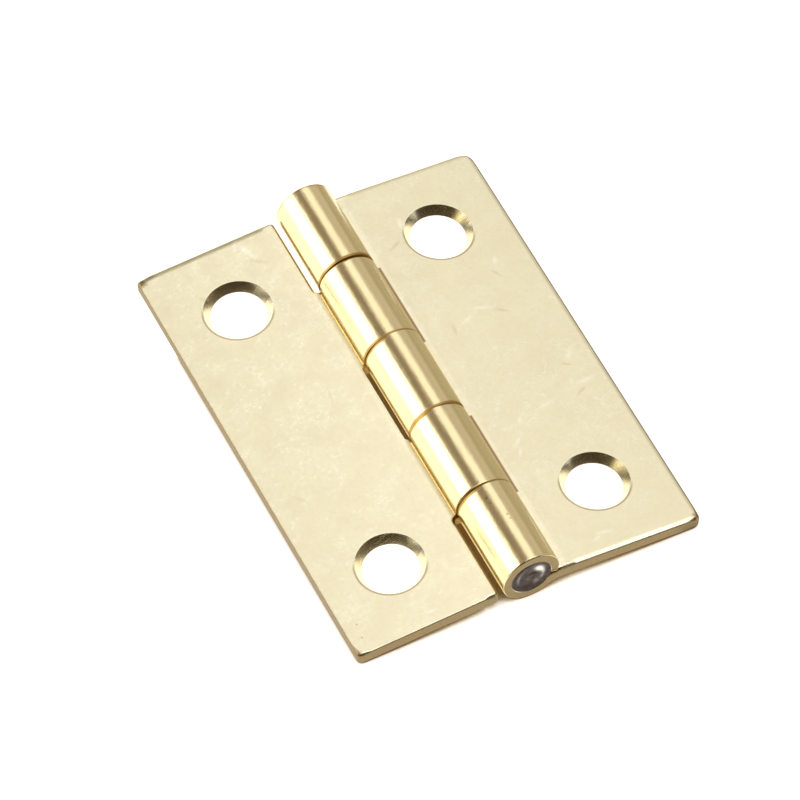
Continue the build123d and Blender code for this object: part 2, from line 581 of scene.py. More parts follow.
@dataclass(frozen=True)
class BrassPlating:
    """Thin brass plating on rolled steel sheet: satin on the flat, burnished on the curls.

    Lengths are in millimetres. Each span gives the two values between which something fades in.
    """

    # Flat of the leaf
    face_colour: Colour = (0.945, 0.895, 0.665, 1)
    face_shade: Colour = (0.915, 0.86, 0.625, 1)
    face_roughness: float = 0.35
    roughness_spread: float = 0.05
    mottle: Grain = Grain(0.55, detail=4.0)
    grain: Grain = Grain(3.2)
    cloud_shares: Span = (0.45, 0.55)
    shade_span: Span = (0.36, 0.66)
    satin_span: Span = (0.3, 0.7)

    # Curls
    curl_colour: Colour = (0.95, 0.82, 0.50, 1)
    curl_roughness: float = 0.235
    curl_span: Span = (0.25, 0.05)
    brushed: Grain = Grain(1.0, stretch=(5.0, 0.35, 5.0))

    # Sheared edges of the sheet, in a darker tone of their own deepened by painted shade
    edge_and_shade_colour: Colour = (0.37, 0.275, 0.135, 1)
    worn_edge_and_shade_colour: Colour = (0.27, 0.205, 0.095, 1)
    edge_roughness: float = 0.42
    end_span: Span = (0.72, 0.9)
    side_span: Span = (0.2, 0.5)

    # Screw holes, with a painted shade on the near half of each lip
    hole_roughness: float = 0.21
    cone_span: Span = (2.72, 2.66)
    bore_colour: Colour = (0.98, 0.97, 0.94, 1)
    bore_span: Span = (2.22, 2.17)
    sink_depth: float = 0.71
    sink_blur: float = 0.02
    lip_shade_colour: Colour = (0.40, 0.30, 0.14, 1)
    lip_shade_share: float = 0.75
    lip_outer: Span = (2.82, 2.74)
    lip_inner: Span = (2.56, 2.64)
    lip_side: tuple[float, float, float] = (-0.45, -0.89, 0.0)
    lip_side_span: Span = (-0.5, 0.7)

    # Notches, seams and the deep gaps between the knuckles, all given painted shade
    notch_shade_colour: Colour = (0.30, 0.17, 0.08, 1)
    notch_shade_share: float = 0.9
    notch_span: Span = (2.90, 2.78)
    notch_blur: float = 0.05
    seam_shadow_colour: Colour = (0.50, 0.32, 0.10, 1)
    seam_span: Span = (0.22, 0.12)
    seam_shade: Span = (-0.35, -0.65)
    far_rim_width: float = 0.35
    far_rim_shade_strength: float = 0.6
    crevice_shade_colour: Colour = (0.80, 0.53, 0.19, 1)
    crevice_reach: float = 0.5
    crevice_span: Span = (0.45, 0.1)
    crevice_samples: int = 8

    # Wear marks, handling marks, specks and scratches
    wobble: Grain = Grain(6.0, detail=2.0)
    wobble_share: float = 0.9
    mark_core: float = 0.25
    curly: Grain = Grain(0.9, detail=2.0, rough=0.5)
    curly_span: Span = (0.013, 0.003)
    curly_patch: Grain = Grain(0.25, detail=2.0, rough=0.5)
    curly_patch_span: Span = (0.48, 0.58)
    curly_share: float = 0.8
    speck_density: float = 1.1
    speck_span: Span = (0.11, 0.05)
    speck_patch_span: Span = (0.46, 0.52)
    speck_share: float = 0.7
    scratch: Grain = Grain(0.8, detail=2.0, rough=0.5, stretch=(0.25, 6.0, 1.0))
    scratch_span: Span = (0.012, 0.0)
    scratch_patch: Grain = Grain(0.3, detail=2.0, rough=0.5)
    scratch_patch_span: Span = (0.52, 0.64)

    # Relief
    relief_shares: Span = (0.5, 0.25)
    relief_strength: float = 0.22
    relief_depth: float = 0.05
    curl_relief: float = 2.6
    brushed_relief: float = 0.5
    scratch_relief: float = -0.35

    def material(self, name: str, leaf: Leaf, frame: HingeFrame) -> bpy.types.Material:
        """Make the plating for one leaf.

        Args:
            name: The material's name.
            leaf: The leaf that it is for.
            frame: Where the leaf has its face, its curls and its holes.

        Returns:
            The material.
        """
        material = bpy.data.materials.new(name)
        bench = ShaderBench(material)
        place = bench.millimetres()
        split = bench.split(place)
        from_pin = self._pin_reach(bench, split, frame)
        curl = bench.ramp(from_pin, *(frame.pin_height / MM + over for over in self.curl_span))
        hole, bore, lip_shade = self._hole_shares(bench, place, leaf, frame)
        edge = self._edge_share(bench, frame.out(leaf), curl, hole)
        seam_shadow = bench.times(self._seam_shadow_share(bench, split, leaf, frame), curl)
        mottle = bench.noise(self.mottle)
        grain = bench.noise(self.grain)
        brushed = bench.noise(self.brushed)
        cloud = bench.weighed(mottle, grain, self.cloud_shares)

        face = bench.tint(bench.ramp(cloud, *self.shade_span), self.face_shade, self.face_colour)
        colour = bench.tint(curl, face, self.curl_colour)
        # Sheared edges and faces turned along the pin: their own darker tone, deepened by painted shade
        colour = bench.tint(edge, colour, bench.tint(grain, self.worn_edge_and_shade_colour, self.edge_and_shade_colour))
        colour = self._handled(bench, colour, bench.most(curl, edge))
        colour = self._marked(bench, colour, place, leaf, frame)
        # Painted shade on the near half of each countersink's lip
        colour = bench.tint(bench.times(lip_shade, self.lip_shade_share), colour, self.lip_shade_colour)
        # Painted shade along the rim of each notch, beside the other leaf's knuckles
        notch_shade = self._notch_shade_rims(bench, split, from_pin, leaf, frame)
        colour = bench.tint(notch_shade, colour, self.notch_shade_colour)
        colour = bench.tint(bore, colour, self.bore_colour)
        # Painted shade on the rim at the far end of the barrel
        colour = bench.tint(self._far_rim_shade_share(bench, split, curl, frame), colour, self.seam_shadow_colour)
        # Golden brown painted shade in the grooves between the knuckles
        colour = bench.tint(seam_shadow, colour, self.seam_shadow_colour)
        # Orange brown painted shade wherever ambient occlusion finds a deep gap
        colour = bench.tint(self._crevice_shade_share(bench), colour, self.crevice_shade_colour)

        roughness = bench.blend(curl, self._satin(bench, cloud), self._burnished(bench, brushed))
        roughness = bench.blend(hole, roughness, self.hole_roughness)
        roughness = bench.blend(bench.most(edge, seam_shadow), roughness, self.edge_roughness)
        relief = self._relief(bench, mottle, grain, brushed, curl)
        bent = bench.bump(relief, self.relief_strength, self.relief_depth * MM)
        bench.metal(colour, roughness, bent)
        return material

    def _satin(self, bench: ShaderBench, cloud: Socket) -> Socket:
        """Make the flat's roughness, which is less where the plating is clearer.

        Args:
            bench: Where the nodes go.
            cloud: The clouding of the flat.

        Returns:
            The roughness.
        """
        dull = self.face_roughness + self.roughness_spread
        clear = self.face_roughness - self.roughness_spread
        return bench.blend(bench.ramp(cloud, *self.satin_span), dull, clear)

    def _burnished(self, bench: ShaderBench, brushed: Socket) -> Socket:
        """Make the curls' roughness, which follows the drawing lines.

        Args:
            bench: Where the nodes go.
            brushed: The drawing lines.

        Returns:
            The roughness.
        """
        clear = self.curl_roughness - self.roughness_spread
        dull = self.curl_roughness + self.roughness_spread
        return bench.blend(brushed, clear, dull)

    def _relief(
        self, bench: ShaderBench, mottle: Socket, grain: Socket, brushed: Socket, curl: Socket
    ) -> Socket:
        """Make the fine relief: waves and scratches on the flat, drawing lines on the curls.

        Args:
            bench: Where the nodes go.
            mottle: The broad waves.
            grain: The finer ones.
            brushed: The drawing lines.
            curl: The share of curl.

        Returns:
            The relief.
        """
        relief = bench.weighed(mottle, grain, self.relief_shares)
        scratches = bench.times(self._scratches(bench), bench.rest(curl), self.scratch_relief)
        relief = bench.maths("ADD", relief, scratches)
        relief = bench.times(relief, bench.blend(curl, 1.0, self.curl_relief))
        return bench.maths("ADD", relief, bench.times(brushed, curl, self.brushed_relief))

    def _pin_reach(self, bench: ShaderBench, split: bpy.types.Node, frame: HingeFrame) -> Socket:
        """Measure the distance from the pin's axis, in millimetres.

        Args:
            bench: Where the nodes go.
            split: The coordinates in millimetres, split up.
            frame: Where the pin is.

        Returns:
            The distance.
        """
        rise = bench.maths("SUBTRACT", split.outputs["Z"], frame.pin_height / MM)
        flat = bench.add("ShaderNodeCombineXYZ")
        bench.feed(flat.inputs["X"], split.outputs["X"])
        bench.feed(flat.inputs["Z"], rise)
        return bench.length(flat.outputs[0])

    def _hole_shares(
        self, bench: ShaderBench, place: Socket, leaf: Leaf, frame: HingeFrame
    ) -> tuple[Socket, Socket, Socket]:
        """Mark the screw holes, their bright cut bores, and the near half of their lips, which gets a
        painted shade.

        Args:
            bench: Where the nodes go.
            place: The coordinates in millimetres.
            leaf: The leaf that has the holes.
            frame: Where the holes and the leaf's face are.

        Returns:
            The shares of hole, of bore and of painted lip shade, each 1 there and 0 away from it.
        """
        normal = tuple(frame.normals[leaf])
        reaches = []
        lip_shades = 0.0
        for centre in frame.holes[leaf]:
            offset = bench.offset(place, tuple(centre / MM))
            across = bench.offset(offset, bench.scaled(normal, bench.dot(offset, normal)))
            reach = bench.length(across)
            reaches.append(reach)
            ring = bench.times(
                bench.ramp(reach, *self.lip_outer),
                bench.ramp(reach, *self.lip_inner),
                bench.ramp(bench.dot(across, self.lip_side), *self.lip_side_span),
            )
            lip_shades = bench.most(lip_shades, ring)
        nearest = bench.maths("MINIMUM", *reaches)
        height = bench.dot(bench.offset(place, (0, 0, frame.pin_height / MM)), normal)
        sunk = -frame.face_drop / MM - self.sink_depth
        over_bore = bench.ramp(height, sunk - self.sink_blur, sunk + self.sink_blur)
        cone = bench.times(bench.ramp(nearest, *self.cone_span), over_bore)
        bore = bench.times(bench.ramp(nearest, *self.bore_span), bench.rest(over_bore))
        return bench.most(cone, bore), bore, bench.times(lip_shades, over_bore)

    def _edge_share(self, bench: ShaderBench, out: Vector, curl: Socket, hole: Socket) -> Socket:
        """Mark the sheared edges of the sheet.

        Args:
            bench: Where the nodes go.
            out: The direction from the pin to the leaf's outer edge.
            curl: The share of curl.
            hole: The share of hole.

        Returns:
            1 on a sheared edge, 0 elsewhere.
        """
        normal = bench.own_normal()
        ends = bench.ramp(bench.size(bench.dot(normal, (0, 1, 0))), *self.end_span)
        sides = bench.ramp(bench.size(bench.dot(normal, tuple(out))), *self.side_span)
        both = bench.most(ends, bench.times(sides, bench.rest(curl)))
        return bench.times(both, bench.rest(hole))

    def _marked(
        self, bench: ShaderBench, colour: Socket, place: Socket, leaf: Leaf, frame: HingeFrame
    ) -> Socket:
        """Lay the leaf's wear marks over its colour.

        Args:
            bench: Where the nodes go.
            colour: The colour without marks.
            place: The coordinates in millimetres.
            leaf: The leaf that is dressed.
            frame: Where the leaf is.

        Returns:
            The colour with the marks.
        """
        wobble = bench.maths("SUBTRACT", bench.noise(self.wobble), NOISE_MIDDLE)
        wobble = bench.times(wobble, self.wobble_share)
        for mark in LEAF_MARKS[leaf]:
            line = tuple(mark.line(leaf, frame))
            offset = bench.offset(place, tuple(mark.middle(leaf, frame)))
            drawn = bench.times(bench.dot(offset, line), 1.0 / mark.stretch - 1.0)
            near = bench.vector("ADD", offset, bench.scaled(line, drawn)).outputs["Vector"]
            reach = bench.maths("ADD", bench.length(near), bench.times(wobble, mark.radius))
            share = bench.ramp(reach, mark.radius, mark.radius * self.mark_core)
            colour = bench.tint(bench.times(share, mark.strength), colour, mark.colour)
        return colour

    def _seam_shadow_share(
        self, bench: ShaderBench, split: bpy.types.Node, leaf: Leaf, frame: HingeFrame
    ) -> Socket:
        """Mark the grooves where a knuckle meets its neighbour, which get a golden brown painted shade.

        The far lip of a knuckle gets this painted shade only on the side away from the light.

        Args:
            bench: Where the nodes go.
            split: The coordinates in millimetres, split up.
            leaf: The leaf whose knuckles they are.
            frame: Where the knuckles end.

        Returns:
            1 in a groove, 0 away from it.
        """
        groove = 0.0
        shaded = bench.ramp(split.outputs["X"], *self.seam_shade)
        for low, high in frame.knuckles[leaf]:
            for end, kept in ((low, 1.0), (high, shaded)):
                if abs(end) < frame.half_length - END_TOLERANCE * MM:
                    aside = bench.apart(split.outputs["Y"], end / MM)
                    groove = bench.most(groove, bench.times(bench.ramp(aside, *self.seam_span), kept))
        return groove

    def _far_rim_shade_share(
        self, bench: ShaderBench, split: bpy.types.Node, curl: Socket, frame: HingeFrame
    ) -> Socket:
        """Mark the rim at the far end of the barrel, which gets a painted shade in the seams' brown.

        Args:
            bench: Where the nodes go.
            split: The coordinates in millimetres, split up.
            curl: The share of curl.
            frame: Where the hinge ends.

        Returns:
            The share, rising towards the end.
        """
        half = frame.half_length / MM
        rim = bench.ramp(split.outputs["Y"], half - self.far_rim_width, half)
        return bench.times(rim, curl, self.far_rim_shade_strength)

    def _notch_shade_rims(
        self, bench: ShaderBench, split: bpy.types.Node, from_pin: Socket, leaf: Leaf, frame: HingeFrame
    ) -> Socket:
        """Mark the rim of the notches that take the other leaf's knuckles, where a painted shade goes.

        Args:
            bench: Where the nodes go.
            split: The coordinates in millimetres, split up.
            from_pin: The distance from the pin's axis.
            leaf: The leaf that has the notches.
            frame: Where the other leaf's knuckles are.

        Returns:
            The share on a notch's rim, 0 away from it.
        """
        rims = 0.0
        for low, high in frame.knuckles[leaf.other]:
            half = (high - low) / 2 / MM
            aside = bench.apart(split.outputs["Y"], (low + high) / 2 / MM)
            rims = bench.most(rims, bench.ramp(aside, half + self.notch_blur, half - self.notch_blur))
        return bench.times(rims, self.notch_shade_share, bench.ramp(from_pin, *self.notch_span))

    def _handled(self, bench: ShaderBench, colour: Socket, clean: Socket) -> Socket:
        """Lay faint curly handling marks and tiny specks over the flat of the leaf.

        Args:
            bench: Where the nodes go.
            colour: The colour without them.
            clean: The share of curl and edge, which have none.

        Returns:
            The colour with them.
        """
        flat = bench.rest(clean)
        path = bench.noise(self.curly)
        lines = bench.ramp(bench.apart(path, NOISE_MIDDLE), *self.curly_span)
        patch = bench.ramp(bench.noise(self.curly_patch), *self.curly_patch_span)
        colour = bench.tint(bench.times(lines, patch, flat, self.curly_share), colour, PALE_SCUFF)
        cells = bench.add("ShaderNodeTexVoronoi")
        bench.feed(cells.inputs["Vector"], bench.millimetres())
        cells.inputs["Scale"].default_value = self.speck_density
        specks = bench.ramp(cells.outputs["Distance"], *self.speck_span)
        patch = bench.ramp(path, *self.speck_patch_span)
        return bench.tint(bench.times(specks, patch, flat, self.speck_share), colour, SHADY_SCUFF)

    def _crevice_shade_share(self, bench: ShaderBench) -> Socket:
        """Mark the deep gaps between the knuckles by ambient occlusion, where an orange brown painted
        shade goes.

        Args:
            bench: Where the nodes go.

        Returns:
            1 deep in a gap, 0 in the open.
        """
        nook = bench.add("ShaderNodeAmbientOcclusion", samples=self.crevice_samples)
        nook.inputs["Distance"].default_value = self.crevice_reach * MM
        return bench.ramp(nook.outputs["AO"], *self.crevice_span)

    def _scratches(self, bench: ShaderBench) -> Socket:
        """Draw fine handling scratches that run mostly across the leaf.

        Args:
            bench: Where the nodes go.

        Returns:
            1 in a scratch, 0 elsewhere.
        """
        lines = bench.ramp(bench.apart(bench.noise(self.scratch), NOISE_MIDDLE), *self.scratch_span)
        patch = bench.ramp(bench.noise(self.scratch_patch), *self.scratch_patch_span)
        return bench.times(lines, patch)


@dataclass(frozen=True)
class StakedSteel:
    """Bare, slightly tarnished steel of the pin, with painted highlights on its struck ends."""

    highlight_colour: Colour = (0.93, 0.89, 0.85, 1)
    dark: Colour = (0.046, 0.031, 0.022, 1)
    blotch: Grain = Grain(2.2, detail=4.0)
    blotch_share: float = 0.12
    fine: Grain = Grain(9.0)
    roughness: Span = (0.18, 0.38)
    relief_strength: float = 0.3
    relief_depth: float = 0.05

    def material(self, name: str) -> bpy.types.Material:
        """Make the pin's steel.

        Args:
            name: The material's name.

        Returns:
            The material.
        """
        material = bpy.data.materials.new(name)
        bench = ShaderBench(material)
        blotch = bench.noise(self.blotch)
        fine = bench.noise(self.fine)
        # Painted highlights and shade, read from the pin's layer
        painted_shine = bench.add("ShaderNodeAttribute", attribute_name=PAINTED_SHINE_LAYER).outputs["Fac"]
        uneven = bench.times(bench.maths("SUBTRACT", blotch, NOISE_MIDDLE), self.blotch_share)
        shine = bench.maths("ADD", painted_shine, uneven, clamp=True)
        colour = bench.tint(shine, self.dark, self.highlight_colour)
        relief = bench.maths("ADD", fine, blotch)
        bent = bench.bump(relief, self.relief_strength, self.relief_depth * MM)
        bench.metal(colour, bench.blend(fine, *self.roughness), bent)
        return material


class LeafSpace:
    """A leaf's own axes in millimetres: out from the pin, along the pin, and up from the sheet."""

    def __init__(self, normal: Vector, pin_height: float) -> None:
        """Set up the axes.

        Args:
            normal: The unit vector out of the leaf's countersunk face.
            pin_height: How high the pin is, in metres.
        """
        out = (normal.z, 0.0, -normal.x) if normal.x > 0 else (-normal.z, 0.0, normal.x)
        self.axes = np.array((out, (0.0, 1.0, 0.0), tuple(normal)))
        self.origin = np.array((0.0, 0.0, pin_height))

    def places(self, points: np.ndarray) -> np.ndarray:
        """Turn points in metres into places on the leaf."""
        return (points - self.origin) @ self.axes.T / MM

    def points(self, places: np.ndarray) -> np.ndarray:
        """Turn places on the leaf into points in metres."""
        return places * MM @ self.axes + self.origin


def smooth(values: np.ndarray, low: float, high: float) -> np.ndarray:
    """Rise smoothly from 0 at the low value to 1 at the high one."""
    share = np.clip((values - low) / (high - low), 0.0, 1.0)
    return share * share * (3.0 - 2.0 * share)


@dataclass(frozen=True)
class EdgeForm:
    """How one edge of the sheet came out of the press, in millimetres."""

    keenness: float = 1.0
    roll_width: float = 0.4
    roll_depth: float = 0.0
    roll_curve: float = 2.0


LEAF_EDGES: dict[Leaf, dict[SheetEdge, EdgeForm]] = {
    Leaf.THREE_KNUCKLE: {
        SheetEdge.NEAR: EdgeForm(keenness=0.3, roll_width=0.42, roll_depth=0.085, roll_curve=1.3),
        SheetEdge.FAR: EdgeForm(keenness=0.5, roll_width=0.5, roll_depth=0.08),
        SheetEdge.OUTER: EdgeForm(keenness=0.5, roll_width=0.42, roll_depth=0.08),
    },
    Leaf.TWO_KNUCKLE: {
        SheetEdge.NEAR: EdgeForm(keenness=0.35),
        SheetEdge.FAR: EdgeForm(keenness=0.4, roll_width=0.65, roll_depth=0.13),
        SheetEdge.OUTER: EdgeForm(keenness=0.35),
    },
}


@dataclass
class RolledLeaf:
    """One leaf with its curls, pressed and rolled a little less evenly than its solid.

    Lengths are in millimetres, and lay_turn is in degrees. The lay is how far a curl is out of round.
    Each span gives the two values between which something fades in or out.
    """

    leaf: Leaf
    frame: HingeFrame
    lay: float
    body: str
    slot: str
    finish: BrassPlating = BrassPlating()

    # Rounded edges of the sheet, and what is drawn in with them
    rounding: float = 0.3
    face_margin: float = 1.02
    eased_width: float = 1.0
    eased_depth: float = 0.7
    bend_ease: Span = (3.4, 3.8)
    corner_ease: Span = (1.1, 0.5)
    roll_cut_shares: tuple[float, ...] = (1.0, 0.8, 0.6, 0.4)
    roll_fade: Span = (0.45, 0.85)

    # Rounded rings at the two ends of the barrel
    ring_rounding: float = 0.24
    ring_keenness: float = 0.5
    ring_margin: float = 0.01
    ring_slack: float = 0.05

    # Ends of the knuckles inside the barrel
    end_reach: float = 0.028
    end_width: float = 0.32
    end_fade: Span = (0.02, 0.3)

    # Lay of the curls, which aren't quite round
    lay_turn: float = 17.0
    lay_outer_fade: Span = (0.05, 0.4)
    lay_inner_fade: Span = (-0.8, -0.4)
    slope_step: float = 1e-4

    def build(self, node: bpy.types.Object) -> bpy.types.Object:
        """Shape a copy of the leaf's node, plate it and let it stand for the node.

        Args:
            node: The leaf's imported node.

        Returns:
            The dressed leaf.
        """
        space = LeafSpace(self.frame.normals[self.leaf], self.frame.pin_height)
        mesh = self._shaped(node.data, space)
        mesh.materials.clear()
        mesh.materials.append(self.finish.material(f"{self.leaf.value}_plating", self.leaf, self.frame))
        piece = bpy.data.objects.new(f"{self.leaf.value}_plated", mesh)
        bpy.context.scene.collection.objects.link(piece)
        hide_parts(node.name)
        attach(piece, self.body)
        return piece

    def _shaped(self, source: bpy.types.Mesh, space: LeafSpace) -> bpy.types.Mesh:
        """Copy the node's mesh, tighten its edges, roll them over and turn its normals to match.

        Args:
            source: The node's mesh.
            space: The leaf's own axes.

        Returns:
            The shaped mesh.
        """
        mesh = source.copy()
        mesh.name = f"{self.leaf.value}_sheet"
        normals = np.empty(len(mesh.loops) * 3)
        mesh.corner_normals.foreach_get("vector", normals)
        shell = bmesh.new()
        shell.from_mesh(mesh)
        kept = shell.loops.layers.float_vector.new("kept_normal")
        corners_in_order = [corner for side in shell.faces for corner in side.loops]
        for corner, normal in zip(corners_in_order, normals.reshape(-1, 3)):
            corner[kept] = normal
        self._cut(shell, space, self._ease_cuts())
        self._move(shell, space, self._tightened)
        self._cut(shell, space, self._roll_cuts())
        places = self._move(shell, space, self._rolled)
        shell.verts.index_update()
        corners_in_order = [corner for side in shell.faces for corner in side.loops]
        before = np.array([tuple(corner[kept]) for corner in corners_in_order]) @ space.axes.T
        turned = self._turned(before, places[[corner.vert.index for corner in corners_in_order]])
        shell.to_mesh(mesh)
        shell.free()
        mesh.polygons.foreach_set("use_smooth", [True] * len(mesh.polygons))
        mesh.normals_split_custom_set([tuple(normal) for normal in turned @ space.axes])
        return mesh

    def _move(
        self,
        shell: bmesh.types.BMesh,
        space: LeafSpace,
        form: Callable[[np.ndarray], np.ndarray],
    ) -> np.ndarray:
        """Move every corner by a form.

        Args:
            shell: The leaf.
            space: The leaf's own axes.
            form: What turns places into new ones.

        Returns:
            The places that the corners had before.
        """
        places = space.places(np.array([tuple(vert.co) for vert in shell.verts]))
        for vert, point in zip(shell.verts, space.points(form(places))):
            vert.co = point
        return places

    def _cut(self, shell: bmesh.types.BMesh, space: LeafSpace, cuts: list[tuple[int, float]]) -> None:
        """Cut the faces along straight lines, so that they can bend there.

        Args:
            shell: The leaf.
            space: The leaf's own axes.
            cuts: The axis that each cut crosses, 0 for out and 1 for along, and where.
        """
        for axis, reach in cuts:
            place = np.zeros(3)
            place[axis] = reach
            bmesh.ops.bisect_plane(
                shell,
                geom=[*shell.verts, *shell.edges, *shell.faces],
                plane_co=space.points(place),
                plane_no=space.axes[axis],
                dist=CUT_TOLERANCE,
            )

    def _ease_cuts(self) -> list[tuple[int, float]]:
        """List the cuts between which an edge eases into its corners and into the S-bend.

        Returns:
            The axis that each cut crosses, and where.
        """
        half = self.frame.half_length / MM
        reach = self.frame.reach / MM
        across = [(0, place) for place in self.bend_ease]
        across += [(0, reach - ease) for ease in self.corner_ease]
        return across + [(1, side * (half - ease)) for side in (-1, 1) for ease in self.corner_ease]

    def _roll_cuts(self) -> list[tuple[int, float]]:
        """List the cuts along each edge that is rolled over.

        Returns:
            The axis that each cut crosses, and where.
        """
        cuts = []
        for edge, form in LEAF_EDGES[self.leaf].items():
            if form.roll_depth > 0:
                for share in self.roll_cut_shares:
                    inset = form.roll_width * share * self._outward(edge)
                    cuts.append((self._axis(edge), self._edge_place(edge) - inset))
        return cuts

    def _axis(self, edge: SheetEdge) -> int:
        """Give the axis that an edge lies across, 0 for out and 1 for along."""
        return 0 if edge is SheetEdge.OUTER else 1

    def _outward(self, edge: SheetEdge) -> float:
        """Give the direction in which an edge faces."""
        return -1.0 if edge is SheetEdge.NEAR else 1.0

    def _edge_place(self, edge: SheetEdge) -> float:
        """Give where an edge lies on its own axis, in millimetres."""
        reach = self.frame.reach if edge is SheetEdge.OUTER else self.frame.half_length
        return self._outward(edge) * reach / MM

    def _inset(self, edge: SheetEdge, places: np.ndarray) -> np.ndarray:
        """Measure how far places lie inside an edge."""
        return (self._edge_place(edge) - places[:, self._axis(edge)]) * self._outward(edge)

    def _sheet_share(self, edge: SheetEdge, places: np.ndarray) -> np.ndarray:
        """Share an edge's form out along it.

        Args:
            edge: The edge.
            places: Places on the leaf.

        Returns:
            1 along the edge, falling to 0 at its corners and over the S-bend.
        """
        far, close = self.corner_ease
        if edge is SheetEdge.OUTER:
            half = self.frame.half_length / MM
            return 1.0 - smooth(np.abs(places[:, 1]), half - far, half - close)
        reach = self.frame.reach / MM
        past_bend = smooth(places[:, 0], *self.bend_ease)
        return past_bend * (1.0 - smooth(places[:, 0], reach - far, reach - close))

    def _tightened(self, places: np.ndarray) -> np.ndarray:
        """Draw the rounding of each edge in towards its corner, by the edge's keenness.

        Args:
            places: Places on the leaf.

        Returns:
            The new places.
        """
        moved = places.copy()
        depth = -self.frame.face_drop / MM - places[:, 2]
        in_face = (depth > 0) & (depth < self.eased_depth)
        for edge, form in LEAF_EDGES[self.leaf].items():
            inset = self._inset(edge, places)
            keep = 1.0 - (1.0 - form.keenness) * self._sheet_share(edge, places)
            drawn = inset - self._drawn(inset, keep, self.eased_width)
            at_face = (inset < self.eased_width) & (depth < self.eased_depth)
            moved[:, self._axis(edge)] += self._outward(edge) * np.where(at_face, drawn, 0.0)
            if edge is SheetEdge.OUTER:
                # The leaf slopes, so a keener outer edge is set back to stay inside the solids' box
                lean = abs(self.frame.normals[self.leaf].x) / self.frame.normals[self.leaf].z
                set_back = self.rounding * (1.0 - keep) * lean
                moved[:, 0] -= np.where(inset < self.rounding, set_back, 0.0)
            lift = depth - self._drawn(depth, keep, self.eased_depth)
            moved[:, 2] += np.where(in_face & (inset < self.rounding * self.face_margin), lift, 0.0)
        moved[:, 1] += self._knuckle_ends(places)
        return self._keen_rings(moved)

    def _keen_rings(self, places: np.ndarray) -> np.ndarray:
        """Draw the rounding of the curls in at the two ends of the hinge.

        Args:
            places: Places on the leaf.

        Returns:
            The new places.
        """
        moved = places.copy()
        barrel = self.frame.pin_height / MM
        reach = np.hypot(places[:, 0], places[:, 2])
        inset = self.frame.half_length / MM - np.abs(places[:, 1])
        depth = barrel - reach
        limit = self.ring_rounding + self.ring_margin
        rounded = (inset < limit) & (depth < limit) & (depth > -self.ring_slack)
        drawn = np.where(rounded, 1.0 - self.ring_keenness, 0.0)
        moved[:, 1] += np.sign(places[:, 1]) * np.maximum(inset, 0.0) * drawn
        spread = 1.0 + np.maximum(depth, 0.0) * drawn / reach
        moved[:, 0] *= spread
        moved[:, 2] *= spread
        return moved

    def _drawn(self, distance: np.ndarray, keep: np.ndarray, width: float) -> np.ndarray:
        """Shrink the rounded stretch of a distance, and stretch what follows it.

        Args:
            distance: How far places lie inside the edge.
            keep: What share of the rounded stretch stays.
            width: How far in the stretching ends.

        Returns:
            The new distances.
        """
        start = self.rounding * keep
        after = start + (distance - self.rounding) * (width - start) / (width - self.rounding)
        return np.where(distance < self.rounding, distance * keep, after)

    def _knuckle_ends(self, places: np.ndarray) -> np.ndarray:
        """Give how far the ends of the knuckles bear towards their neighbours.

        Args:
            places: Places on the leaf.

        Returns:
            The move along the pin, nothing at the ends of the hinge.
        """
        over = np.hypot(places[:, 0], places[:, 2]) - self.frame.pin_height / MM
        on_curl = 1.0 - smooth(over, *self.end_fade)
        move = np.zeros(len(places))
        half = self.frame.half_length / MM
        for low, high in self.frame.knuckles[self.leaf]:
            for end, facing in ((low / MM, -1.0), (high / MM, 1.0)):
                if abs(end) < half - END_TOLERANCE:
                    share = np.clip(1.0 - np.abs(places[:, 1] - end) / self.end_width, 0.0, 1.0)
                    move += facing * self.end_reach * share
        return move * on_curl

    def _rolled(self, places: np.ndarray) -> np.ndarray:
        """Roll the edges over and give each curl the lay that the press left it.

        Args:
            places: Places on the leaf.

        Returns:
            The new places.
        """
        moved = places.copy()
        near_face = 1.0 - smooth(-self.frame.face_drop / MM - places[:, 2], *self.roll_fade)
        on_sheet = smooth(places[:, 0], *self.bend_ease)
        for edge, form in LEAF_EDGES[self.leaf].items():
            if form.roll_depth > 0:
                left = np.clip(1.0 - self._inset(edge, places) / form.roll_width, 0.0, 1.0)
                moved[:, 2] -= form.roll_depth * left**form.roll_curve * near_face * on_sheet
        reach = np.hypot(places[:, 0], places[:, 2])
        over = reach - self.frame.pin_height / MM
        on_curl = (1.0 - smooth(over, *self.lay_outer_fade)) * smooth(over, *self.lay_inner_fade)
        side = 1.0 if self.leaf is Leaf.THREE_KNUCKLE else -1.0
        turn = np.arctan2(-side * places[:, 0], places[:, 2]) - math.radians(self.lay_turn)
        ripple = (self.lay * np.sin(2.0 * turn) - abs(self.lay)) * on_curl
        moved[:, 0] += ripple * places[:, 0] / reach
        moved[:, 2] += ripple * places[:, 2] / reach
        return moved

    def _turned(self, normals: np.ndarray, places: np.ndarray) -> np.ndarray:
        """Turn normals as the roll-over and the lay turn the surface under them.

        Args:
            normals: The normals before, in the leaf's own axes.
            places: Where each of them is, before the move.

        Returns:
            The unit normals after it.
        """
        slopes = []
        for axis in range(3):
            step = np.zeros(3)
            step[axis] = self.slope_step
            rise = self._rolled(places + step) - self._rolled(places - step)
            slopes.append(rise / (2.0 * self.slope_step))
        jacobian = np.stack(slopes, axis=2)
        turned = np.linalg.solve(np.transpose(jacobian, (0, 2, 1)), normals[:, :, None])[:, :, 0]
        return turned / np.linalg.norm(turned, axis=1, keepdims=True)


